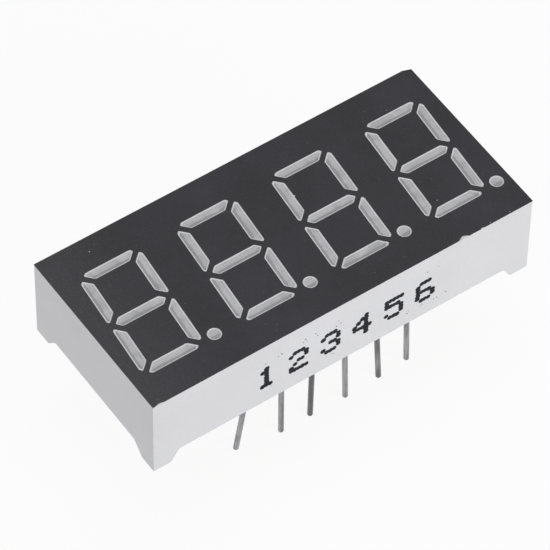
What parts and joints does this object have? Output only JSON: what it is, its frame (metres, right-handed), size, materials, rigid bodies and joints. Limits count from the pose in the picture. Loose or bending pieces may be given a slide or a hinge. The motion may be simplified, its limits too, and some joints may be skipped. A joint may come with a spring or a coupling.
{
  "type": "four-digit seven-segment display",
  "caption": "Seven-segment LED display: white moulded case, black face with slanted grey segments and decimal points, and two rows of wire leads underneath.",
  "frame": {"origin": "middle of the housing's footprint, on the plane that the lead tips stand on", "axes": "+X along the row of digits towards the last digit, +Y up the digits, +Z out of the viewing face"},
  "size_m": [0.0302, 0.014, 0.0137],
  "materials": {
    "white_plastic": "fine satin moulding",
    "black_ink": "matt printed ink",
    "diffusing_epoxy": "smooth, milky grey",
    "back_epoxy": "poured, glossy",
    "laminate": "glass-epoxy laminate",
    "copper": "etched foil",
    "solder": "bright, flowed",
    "tinned_wire": "dull tin plate",
    "led_chip": "sawn semiconductor",
    "gold_wire": "drawn gold"
  },
  "bodies": {
    "root": {"back_fill": "back_epoxy", "circuit_board": "laminate", "digit_1_bond_wires": "gold_wire", "digit_1_led_chips": "led_chip", "digit_1_point": "diffusing_epoxy", "digit_1_segment_a": "diffusing_epoxy", "digit_1_segment_b": "diffusing_epoxy", "digit_1_segment_c": "diffusing_epoxy", "digit_1_segment_d": "diffusing_epoxy", "digit_1_segment_e": "diffusing_epoxy", "digit_1_segment_f": "diffusing_epoxy", "digit_1_segment_g": "diffusing_epoxy", "digit_2_bond_wires": "gold_wire", "digit_2_led_chips": "led_chip", "digit_2_point": "diffusing_epoxy", "digit_2_segment_a": "diffusing_epoxy", "digit_2_segment_b": "diffusing_epoxy", "digit_2_segment_c": "diffusing_epoxy", "digit_2_segment_d": "diffusing_epoxy", "digit_2_segment_e": "diffusing_epoxy", "digit_2_segment_f": "diffusing_epoxy", "digit_2_segment_g": "diffusing_epoxy", "digit_3_bond_wires": "gold_wire", "digit_3_led_chips": "led_chip", "digit_3_point": "diffusing_epoxy", "digit_3_segment_a": "diffusing_epoxy", "digit_3_segment_b": "diffusing_epoxy", "digit_3_segment_c": "diffusing_epoxy", "digit_3_segment_d": "diffusing_epoxy", "digit_3_segment_e": "diffusing_epoxy", "digit_3_segment_f": "diffusing_epoxy", "digit_3_segment_g": "diffusing_epoxy", "digit_4_bond_wires": "gold_wire", "digit_4_led_chips": "led_chip", "digit_4_point": "diffusing_epoxy", "digit_4_segment_a": "diffusing_epoxy", "digit_4_segment_b": "diffusing_epoxy", "digit_4_segment_c": "diffusing_epoxy", "digit_4_segment_d": "diffusing_epoxy", "digit_4_segment_e": "diffusing_epoxy", "digit_4_segment_f": "diffusing_epoxy", "digit_4_segment_g": "diffusing_epoxy", "face_print": "black_ink", "lead_01": "tinned_wire", "lead_02": "tinned_wire", "lead_03": "tinned_wire", "lead_04": "tinned_wire", "lead_05": "tinned_wire", "lead_06": "tinned_wire", "lead_07": "tinned_wire", "lead_08": "tinned_wire", "lead_09": "tinned_wire", "lead_10": "tinned_wire", "lead_11": "tinned_wire", "lead_12": "tinned_wire", "lower_copper": "copper", "reflector_housing": "white_plastic", "solder_joints": "solder", "upper_copper": "copper"}
  },
  "joints": []
}
